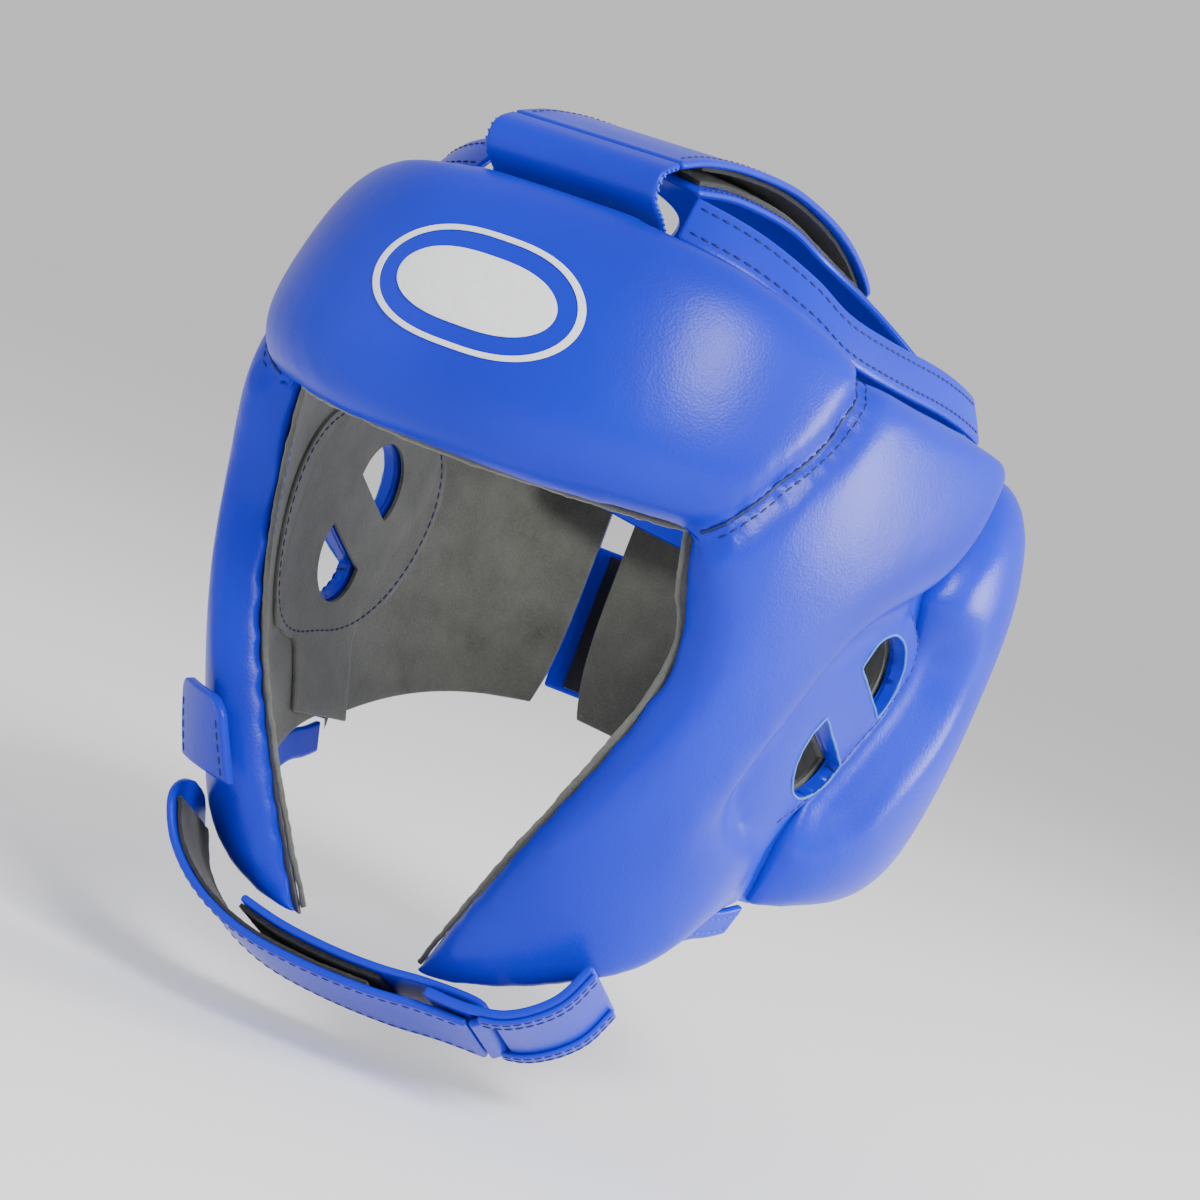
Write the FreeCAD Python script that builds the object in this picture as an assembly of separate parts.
# Boxing headgear: padded leather shell, hook-and-loop crown strap, hinged rear pads and chin strap.
# Frame: millimetres, +X the wearer's left, -Y the face, +Z up. The origin is the centre of the
# head space on the brow plane. Directions round the head are angles from the face (-Y), positive
# towards the wearer's left; a thickness is an offset outwards from the inside of the headgear.
import FreeCAD
import Part
import math
import os

Vector = FreeCAD.Vector

# ---------------------------------------------------------------- driving dimensions, the head
head_half_width = 84.0      # inside of the lining to the midplane, at the ears
head_half_length = 100.0    # inside of the lining to the centre, front and back
head_squareness = 2.9       # exponent of the plan's rounded oval: 2 is an ellipse
head_taper = 0.12           # how much wider the back of the head is than the front
crown_height = 113.0        # where the head form closes above the brow plane
head_shift = 2.0            # the form's centre, behind the origin
jaw_recede = 0.34           # how far the cheek line falls back, per 100 mm below the brow
# ---------------------------------------------------------------- driving dimensions, the build
lining_thick = 1.2
cover_thick = 1.4
forehead_thick = 20.0
side_thick = 19.0
jaw_thick = 13.0            # the side pad's thickness at the chin
rear_thick = 23.0
thinnest_edge = 5.0         # a pad's least thickness, at its corners
seam_share = 0.84           # share of its thickness that a pad keeps at the seam by the temple
cheek_share = 0.42          # and at the free edge of the cheek
seam_gap = 0.5              # clearance between neighbouring pads, half on each side
hem_inset = 3.0             # how far the cover's edge stands outside the foam
ear_panel_thick = 3.0
ear_panel_offset = 4.0
# ear vents: two D-shaped openings on a leaning axis, flat sides facing each other
vent_middle = (9.0, -32.0)  # y, z
vent_lean = 28.0
vent_flat_from_middle = 9.0
vent_radius = 13.5
vent_depth = 18.0
vent_shoulder = 0.35        # share of the depth over which a vent's sides are straight
# straps
strap_thick = 2.2
fastener_thick = 1.3        # hook or loop tape
strap_clearance = 0.3
crown_strap_width = 54.0
chin_strap_width = 38.0
chin_strap_tilt = 20.0      # the front edge of the chin strap sits higher than its back edge
slot_clearance = 2.0
closure_height = 46.0
split_angle = 199.5         # where the two rear pads meet, past the middle of the back
split_gap = 5.5             # angle between their ends
closure_middle_height = -38.0
closure_reach = 22.0        # angle that the closure strap covers on each side of the split
hinge_gap = 0.6             # angle between the closure strap's sewn end and its hinged part
rear_gap = 0.6              # angle kept free in the valley, where the rear pad hinges
end_rounding = 3.0          # angle by which a rear pad's end falls back at its corners
rear_middle, rear_half_height = -17.0, 53.0     # of a rear pad's end at the split
tape_margin = 6.0           # how much narrower the hook and loop tapes are than their strap
band_thick, band_offset, band_width = 2.0, 5.0, 12.0
chin_strap_turn = 12.0      # the strap's right end comes further forward
chin_strap_y = -56.0
chin_tab_width, chin_tab_thick = 46.0, 2.6
slot_start, slot_width = 44.4, 6.2

os.makedirs("parts", exist_ok=True)


def signed_power(value, exponent):
    return math.copysign(abs(value) ** exponent, value)


def head_surface(angle, height):
    """Inside of the headgear at an angle and a height."""
    up = math.sqrt(max(1 - (max(height, 0) / crown_height) ** 2, 0.02))
    below = max(-height, 0) / 100
    wide = up * (1 - 0.167 * below ** 2.2)
    front = up * (1 - jaw_recede * below ** 1.15)
    back = up * (1 - 0.145 * below ** 1.6)
    turn = math.radians(angle)
    across = signed_power(math.sin(turn), 2 / head_squareness)
    along = signed_power(math.cos(turn), 2 / head_squareness)
    y = -head_half_length * along * (front if along > 0 else back)
    x = head_half_width * wide * across * (1 + head_taper * y / head_half_length)
    return Vector(x, y + head_shift, height)


def place(angle, height, offset):
    """A point at an offset outwards from the inside of the headgear."""
    step = 0.5
    round_head = head_surface(angle + step, height) - head_surface(angle - step, height)
    upwards = head_surface(angle, height + step) - head_surface(angle, height - step)
    return head_surface(angle, height) + round_head.cross(upwards).normalize() * offset


def spline(points):
    curve = Part.BSplineCurve()
    curve.interpolate([Vector(*p) for p in points])
    return curve


def along_curve(curve, share):
    return curve.value(curve.FirstParameter + share * (curve.LastParameter - curve.FirstParameter))


class Panel:
    """A four-sided region of the head form, between a first and a second edge read from top to
    bottom. Each edge is a list of (angle, height), in pairs that face each other."""

    def __init__(self, first, second, top_bow=0.0, bottom_bow=0.0, middle_bow=0.0):
        self.first = spline([(a, h, 0) for a, h in first])
        self.second = spline([(a, h, 0) for a, h in second])
        self.top_bow, self.bottom_bow, self.middle_bow = top_bow, bottom_bow, middle_bow

    def width(self):
        return place(*self.at(0, 0.5), 0).distanceToPoint(place(*self.at(1, 0.5), 0))

    def height(self):
        return place(*self.at(0.5, 0), 0).distanceToPoint(place(*self.at(0.5, 1), 0))

    def at(self, s, t):
        a, b = along_curve(self.first, t), along_curve(self.second, t)
        bow = (self.top_bow * (1 - t) + self.bottom_bow * t) * 4 * s * (1 - s)
        lean = self.middle_bow * 4 * s * (1 - s)
        p = a + (b - a) * s
        return p.x + lean, p.y + bow


def rounded(share, band):
    """Rises from 0 at an edge to 1 over a band, like the shoulder of a stuffed pad."""
    near = share / band
    return 1.0 if near >= 1 else math.sqrt(1 - (1 - near) ** 2)


def ramp(value, start, stop):
    return min(max((value - start) / (stop - start), 0.0), 1.0)


class Cushion:
    """Thickness over a pad's two shares. Each edge has its own thickness, as a share of the full
    one, and its own band over which the pad rounds down to it, as a share of the pad's width."""

    def __init__(self, thick, first, second, top, bottom, low_thick=None):
        self.thick, self.low_thick = thick, low_thick or thick
        self.first, self.second, self.top, self.bottom = first, second, top, bottom

    def at(self, s, t):
        edges = [(self.first, s), (self.second, 1 - s), (self.top, t), (self.bottom, 1 - t)]
        kept = 1.0
        for (edge, band), share in edges:
            edge_share = edge(t) if callable(edge) else edge
            kept *= edge_share + (1 - edge_share) * rounded(share, band)
        return max((self.thick + (self.low_thick - self.thick) * t * t) * kept, thinnest_edge)


def shares(count, margin):
    """Shares from edge to edge, closer together near the edges, where a pad rounds over."""
    even = [i / (count - 1) for i in range(count)]
    eased = [0.25 * e + 0.75 * (0.5 - 0.5 * math.cos(math.pi * e)) for e in even]
    return [margin + (1 - 2 * margin) * e for e in eased]


def grid_face(panel, offset, margin_s=0.0, margin_t=0.0, columns=15, rows=17):
    """A smooth face over a panel; offset is a number or a function of the two shares."""
    grid = []
    for s in shares(columns, margin_s):
        line = []
        for t in shares(rows, margin_t):
            angle, height = panel.at(s, t)
            line.append(place(angle, height, offset(s, t) if callable(offset) else offset))
        grid.append(line)
    return surface_face(grid)


def surface_face(grid):
    """A smooth cubic face that follows a grid of points, its edges ending at the grid's corners."""
    knots = [[k / (count - 3) for k in range(count - 2)] for count in (len(grid), len(grid[0]))]
    mults = [[4] + [1] * (len(line) - 2) + [4] for line in knots]
    surface = Part.BSplineSurface()
    surface.buildFromPolesMultsKnots(grid, mults[0], mults[1], knots[0], knots[1], False, False, 3, 3)
    return surface.toShape()


def matching_edge(edge, edges):
    """The edge of another face that runs alongside this one."""
    def middle(e):
        return e.valueAt((e.FirstParameter + e.LastParameter) / 2)
    return min(edges, key=lambda e: middle(e).distanceToPoint(middle(edge)))


def walls(face_a, face_b):
    return [Part.makeRuledSurface(edge, matching_edge(edge, face_b.Edges)) for edge in face_a.Edges]


def closed_solid(faces):
    shell = Part.makeShell(faces)
    shell.sewShape()
    solid = Part.makeSolid(Part.Shell(shell.Faces))
    return solid if solid.Volume > 0 else solid.reversed()


def slab(panel, inner, outer, **size):
    """The solid between two offsets over a panel."""
    low, high = grid_face(panel, inner, **size), grid_face(panel, outer, **size)
    return closed_solid([low, high] + walls(low, high))


def mirrored(shape):
    return shape.mirror(Vector(0, 0, 0), Vector(1, 0, 0))


def padded(panel, cushion, columns, rows):
    """Cover, foam core and lining of one pad. The cover is open towards the lining."""
    def under_cover(s, t):
        return cushion.at(s, t) - cover_thick

    size = dict(columns=columns, rows=rows)
    base = lining_thick + 0.1
    skin = grid_face(panel, cushion.at, **size)
    hem = grid_face(panel, base, **size)
    insets = hem_inset / panel.width(), hem_inset / panel.height()
    pocket = grid_face(panel, under_cover, *insets, **size)
    mouth = grid_face(panel, base, *insets, **size)
    cover = closed_solid([skin, pocket] + walls(skin, hem) + walls(pocket, mouth) + walls(hem, mouth))
    core = closed_solid([pocket, mouth] + walls(pocket, mouth))
    return cover, core, slab(panel, 0.0, lining_thick, **size)


def strip(points, width, inner, outer, middle=0.0):
    """A flat band of a given width across X, whose line runs through points (y, z); inner and
    outer are offsets to the left of the line's direction."""
    line = spline([(0, y, z) for y, z in points])
    count = 24
    sides = [[], []]
    for i in range(count + 1):
        share = i / count
        point = along_curve(line, share)
        parameter = line.FirstParameter + share * (line.LastParameter - line.FirstParameter)
        tangent = Vector(*line.tangent(parameter)[0])
        normal = Vector(0, -tangent.z, tangent.y)
        sides[0].append(point + normal * inner)
        sides[1].append(point + normal * outer)
    low, high = spline([tuple(p) for p in sides[0]]), spline([tuple(p) for p in sides[1]])
    ends = [Part.makeLine(sides[0][0], sides[1][0]), Part.makeLine(sides[1][-1], sides[0][-1])]
    wire = Part.Wire(Part.__sortEdges__([low.toShape(), high.toShape()] + ends))
    body = Part.Face(wire).extrude(Vector(width, 0, 0))
    body.translate(Vector(middle - width / 2, 0, 0))
    return body


def save(name, shape):
    shape.exportStep("parts/" + name + ".step")
    box = shape.BoundBox
    print(f"{name:26s} valid {shape.isValid()} solids {len(shape.Solids)} volume {shape.Volume:9.0f}"
          f"  x {box.XMin:6.1f} {box.XMax:6.1f} y {box.YMin:6.1f} {box.YMax:6.1f}"
          f" z {box.ZMin:6.1f} {box.ZMax:6.1f}")


def save_pair(name, shape):
    save("left_" + name, shape)
    save("right_" + name, mirrored(shape))


def shift(points, angle=0.0, height=0.0):
    return [(a + angle, h + height) for a, h in points]


# ---------------------------------------------------------------- outlines, wearer's left side
seam = [(72, 53), (66, 36), (57, 19), (48, 3)]
cheek_front = [(50, -13), (53, -25), (50, -42), (44, -58), (38, -73), (31, -90), (23, -110), (14, -134)]
side_rear = [(118, 46), (108, 33), (99, 16), (91, 1), (85, -9), (81, -20), (78, -36), (75, -54),
             (78, -66), (88, -69), (91, -79), (92, -91)]
rear_front = [(118.7, 45), (108.8, 32), (100.5, 16), (97.5, 5), (101.5, -5), (102.5, -20),
              (97, -38), (93.2, -54), (90.8, -67), (92, -80), (92.8, -92)]
ear_front = [(93, 2), (87, -9), (83, -20), (80, -36), (77, -54), (80.5, -65)]
ear_rear = [(96, 2), (102.5, -9), (102.5, -20), (97.5, -38), (93.5, -54), (89.5, -65)]
band_low = [(22, 69), (42, 66), (60, 61), (73, 55.5), (95, 53), (112, 50)]
forehead_top = [(-72, 53), (-60, 59), (-42, 64), (-20, 67), (0, 68), (20, 67), (42, 64), (60, 59), (72, 53)]
forehead_bottom = [(-48, 3), (-38, 2), (-26, 1), (-13, 0), (0, 0), (13, 0), (26, 1), (38, 2), (48, 3)]
# ---------------------------------------------------------------- strap lines
hump = [(-72, 71), (-79, 76), (-86, 80), (-86, 86.5), (-79, 90.5)]                      # y, z
crown_line = [(-78, 91), (-62, 95.5), (-38, 99), (-6, 100.5), (28, 97), (52, 90), (68, 81)]
# rear yoke: half width, then y and z of the side, then y and z of the middle
yoke_rows = [(25, -60, 88, -62, 90.5), (25, -35, 91.5, -35, 94.5), (25, 0, 92, 0, 95.6),
             (26, 28, 88, 30, 91.8), (40, 50, 79, 55, 82), (60, 63, 65, 75, 67), (71, 64, 54, 86, 48),
             (67, 70, 36, 91.5, 26), (63, 75.8, 12, 95.1, 5), (59, 76.8, -1, 95.1, -8)]
loop_share = 0.68           # share of the yoke's length that carries loop tape
# chin strap, x and z before it is tilted and turned
chin_tail = [(-61.5, -112), (-60, -121), (-53, -132.5), (-41, -141.8), (-25, -147.8), (-6, -149.8),
             (14, -149.6), (30, -148), (44.2, -147.4)]
chin_base = [(-28, -139.6), (-14, -142.2), (2, -143.2), (16, -142.8), (30, -141.2), (45, -141),
             (48.1, -144.2), (45, -147.4)]
chin_tab = [(31, -144.3), (44, -144.1), (55, -141.5), (65, -133), (70, -121)]
chin_pivot_height = -146.0


class ForeheadPanel(Panel):
    """The top and lower edges run across the brow; the sides follow the seam's own line."""

    def at(self, s, t):
        top, bottom = along_curve(self.first, s), along_curve(self.second, s)
        p = top + (bottom - top) * t
        straight = Vector(seam[0][0], seam[0][1], 0) * (1 - t) + Vector(seam[-1][0], seam[-1][1], 0) * t
        belly = along_curve(seam_line, t) - straight
        side = abs(2 * s - 1) ** 3
        return p.x + math.copysign(belly.x * side, s - 0.5), p.y + belly.y * side


# ---------------------------------------------------------------- forehead pad
seam_line = spline([(a, h, 0) for a, h in seam])
half_gap = seam_gap / 2
forehead = ForeheadPanel([(a * (1 - half_gap / 60), h) for a, h in forehead_top],
                         [(a * (1 - half_gap / 60), h) for a, h in forehead_bottom])
seam_edge = (seam_share, 0.05)
forehead_cushion = Cushion(forehead_thick, seam_edge, seam_edge, (0.66, 0.22), (0.40, 0.34))
cover, core, lining = padded(forehead, forehead_cushion, 25, 13)
save("forehead_cover", cover)
save("forehead_core", core)
save("forehead_lining", lining)

# ---------------------------------------------------------------- side pads, temple to jaw
side = Panel(shift(seam + cheek_front, half_gap), side_rear, bottom_bow=-8)


def side_front_edge(t):
    """As thick as the forehead pad along their seam, and thin along the cheek's free edge."""
    return seam_share + (cheek_share - seam_share) * ramp(t, 0.28, 0.36)


side_cushion = Cushion(side_thick, (side_front_edge, 0.20), (0.38, 0.26), (0.62, 0.05), (0.55, 0.06),
                       jaw_thick)
cover, core, lining = padded(side, side_cushion, 15, 29)
save_pair("side_cover", cover)
save_pair("side_core", core)
save_pair("side_lining", lining)


# ---------------------------------------------------------------- rear pads, ear to the split
def rear_panel(end):
    """A rear pad's panel, from the valley behind the ear to its rounded end at the split."""
    count = len(rear_front)
    rows = [2 * i / (count - 1) - 1 for i in range(count)]
    inner_end = [(end - end_rounding * abs(row) ** 4, rear_middle - rear_half_height * row) for row in rows]
    return Panel(shift(rear_front, rear_gap), inner_end, bottom_bow=3)


rear_pads = {"left": split_angle - split_gap / 2, "right": 360 - split_angle - split_gap / 2}
for wearer_side, end in rear_pads.items():
    reach = end - rear_front[0][0]
    rear_cushion = Cushion(rear_thick, (0.36, 22 / reach), (0.45, 12 / reach), (0.52, 0.16), (0.45, 0.18))
    pieces = padded(rear_panel(end), rear_cushion, 17, 17)
    for kind, piece in zip(("cover", "core", "lining"), pieces):
        save(f"{wearer_side}_rear_{kind}", piece if wearer_side == "left" else mirrored(piece))


# ---------------------------------------------------------------- ear panels with their vents
def vent(flat_side):
    """A D-shaped cutter through the ear panel: flat_side is +1 for the upper vent, -1 for the lower."""
    lean = math.radians(vent_lean)
    along, across = Vector(0, math.sin(lean), math.cos(lean)), Vector(0, math.cos(lean), -math.sin(lean))
    middle = Vector(60, *vent_middle)
    flat = middle + along * flat_side * vent_flat_from_middle
    ends = [flat + across * vent_radius * side for side in (-1, 1)]
    shoulders = [end + along * flat_side * vent_depth * vent_shoulder for end in ends]
    top = middle + along * flat_side * (vent_flat_from_middle + vent_depth)
    edges = [Part.makeLine(ends[0], ends[1]), Part.makeLine(ends[1], shoulders[1]),
             Part.Arc(shoulders[1], top, shoulders[0]).toShape(), Part.makeLine(shoulders[0], ends[0])]
    return Part.Face(Part.Wire(edges)).extrude(Vector(60, 0, 0))


ear = Panel(ear_front, ear_rear)
ear_panel = slab(ear, ear_panel_offset, ear_panel_offset + ear_panel_thick, columns=9, rows=13)
ear_lining = slab(ear, ear_panel_offset - lining_thick - 0.1, ear_panel_offset - 0.1, columns=9, rows=13)
for flat_side in (1, -1):
    ear_panel = ear_panel.cut(vent(flat_side))
    ear_lining = ear_lining.cut(vent(flat_side))
save_pair("ear_panel", ear_panel)
save_pair("ear_lining", ear_lining)

# ---------------------------------------------------------------- crown bands along the top edges
crown_band = slab(Panel(band_low, shift(band_low, 0, band_width)), band_offset, band_offset + band_thick,
                  columns=7, rows=19)
save_pair("crown_band", crown_band)

# ---------------------------------------------------------------- crown strap, front to back
half = strap_thick / 2
save("crown_strap_base", strip(hump, crown_strap_width, -half, half))
save("crown_strap", strip(crown_line, crown_strap_width, -half, half))
save("crown_strap_hook", strip(crown_line[1:], crown_strap_width - tape_margin,
                               -half - 0.1 - fastener_thick, -half - 0.1))


# ---------------------------------------------------------------- rear yoke, crown to nape
def yoke_guide():
    """The outside of the yoke. Each row is an arc across the head, lowest at its two sides."""
    grid = []
    for half_width, side_y, side_z, middle_y, middle_z in yoke_rows:
        line = []
        for i in range(13):
            u = i / 6 - 1
            line.append(Vector(half_width * u, middle_y + (side_y - middle_y) * u * u,
                               middle_z + (side_z - middle_z) * u * u))
        grid.append(line)
    return surface_face(grid).Surface


def yoke_sheet(inner, outer, margin=0.0, rear_end=1.0):
    """A layer of the yoke between two offsets, from the crown to a share of its length."""
    guide = yoke_guide()
    faces = []
    for offset in (inner, outer):
        grid = []
        for i in range(31):
            u = margin / 2 + (rear_end - margin / 2) * i / 30
            across = [margin + (1 - 2 * margin) * j / 14 for j in range(15)]
            grid.append([guide.value(u, v) + guide.normal(u, v) * offset for v in across])
        layer = Part.BSplineSurface()
        layer.interpolate(grid)
        faces.append(layer.toShape())
    return closed_solid(faces + walls(*faces))


save("rear_yoke", yoke_sheet(-strap_thick, 0))
save("rear_yoke_loop", yoke_sheet(0.1, 0.1 + fastener_thick, 0.03, loop_share))

# ---------------------------------------------------------------- closure strap across the split
low, high = closure_middle_height - closure_height / 2, closure_middle_height + closure_height / 2
on_pad = rear_thick + 0.3
on_loop = on_pad + fastener_thick + strap_clearance + fastener_thick
tip, tape_end = split_angle - closure_reach, split_angle - split_gap
hinge_angle, root_angle = split_angle + split_gap, split_angle + closure_reach


def strap_seat(angle):
    """Offset of the strap's inner side: over the tapes, then down to the right pad at its hinge."""
    down = min(max((angle - tape_end) / (hinge_angle - tape_end), 0), 1)
    return on_loop + 0.1 + (on_pad - on_loop - 0.1) * down * down


def closure_piece(start, stop, inner, thick, inset=0.0):
    """A band at constant height on the back, from one angle to another; inner is an offset at an angle."""
    heights = high - inset, (high + low) / 2, low + inset
    ends = [[(angle, height) for height in heights] for angle in (start, stop)]
    layers = [lambda s, t, lift=lift: inner(start + (stop - start) * s) + lift for lift in (0, thick)]
    return slab(Panel(*ends), *layers, columns=13, rows=9)


save("closure_anchor", closure_piece(hinge_angle + hinge_gap, root_angle, lambda angle: on_pad, strap_thick))
save("closure_strap", closure_piece(tip, hinge_angle, strap_seat, strap_thick))
save("closure_hook", closure_piece(tip + 1, tape_end, lambda angle: on_loop - fastener_thick,
                                   fastener_thick, 3))
save("closure_loop", closure_piece(tip - 4, tape_end, lambda angle: on_pad, fastener_thick, 3))


# ---------------------------------------------------------------- chin strap and its tabs
def under_chin(shape):
    """Turns a strip made along Y into the chin strap's own place: across the chin, front edge up."""
    shape = shape.copy()
    shape.rotate(Vector(0, 0, 0), Vector(0, 0, 1), -90)
    shape.rotate(Vector(0, 0, chin_pivot_height), Vector(1, 0, 0), -chin_strap_tilt)
    shape.rotate(Vector(0, 0, 0), Vector(0, 0, 1), chin_strap_turn)
    shape.translate(Vector(0, chin_strap_y, 0))
    return shape


strap_base = strip(chin_base, chin_strap_width, -half, half)
tail = strip(chin_tail, chin_strap_width, -half, half)
loop = strip(chin_base[:4], chin_strap_width - tape_margin, -half - 0.1 - fastener_thick, -half - 0.1)
hook = strip(chin_tail[1:7], chin_strap_width - tape_margin, half + 0.1, half + 0.1 + fastener_thick)
tab = strip(chin_tab, chin_tab_width, -chin_tab_thick / 2, chin_tab_thick / 2)
slot_length = chin_strap_width + 2 * slot_clearance
slot = Part.makeBox(slot_length, slot_width, 16, Vector(-slot_length / 2, slot_start, chin_pivot_height))
save("chin_strap_base", under_chin(strap_base))
save("chin_strap_loop", under_chin(loop))
save("chin_strap_tail", under_chin(tail))
save("chin_strap_hook", under_chin(hook))
save("chin_slot_tab", under_chin(tab.cut(slot)))
anchor = Panel([(25, -78), (23, -89), (21, -99)], [(45, -78), (45, -89), (44, -99)])
save("chin_anchor_tab", mirrored(slab(anchor, side_thick + 0.4, side_thick + 3.0, columns=7, rows=7)))

# ---------------------------------------------------------------- bindings, emblem and label
binding_line = [(94, -92.5), (89, -96), (82, -101)]
binding = slab(Panel(binding_line, shift(binding_line, 0, -9)), 1.6, 4.0, columns=5, rows=7)
save_pair("side_binding", binding)
emblem = Panel([(-15, 50), (-15, 22)], [(15, 50), (15, 22)])
save("forehead_emblem", slab(emblem, forehead_thick + 0.3, forehead_thick + 1.1, columns=9, rows=9))
label = Panel([(128, -18), (128, -42)], [(146, -18), (146, -42)])
save("rear_label", slab(label, rear_thick + 0.3, rear_thick + 1.1, columns=7, rows=7))
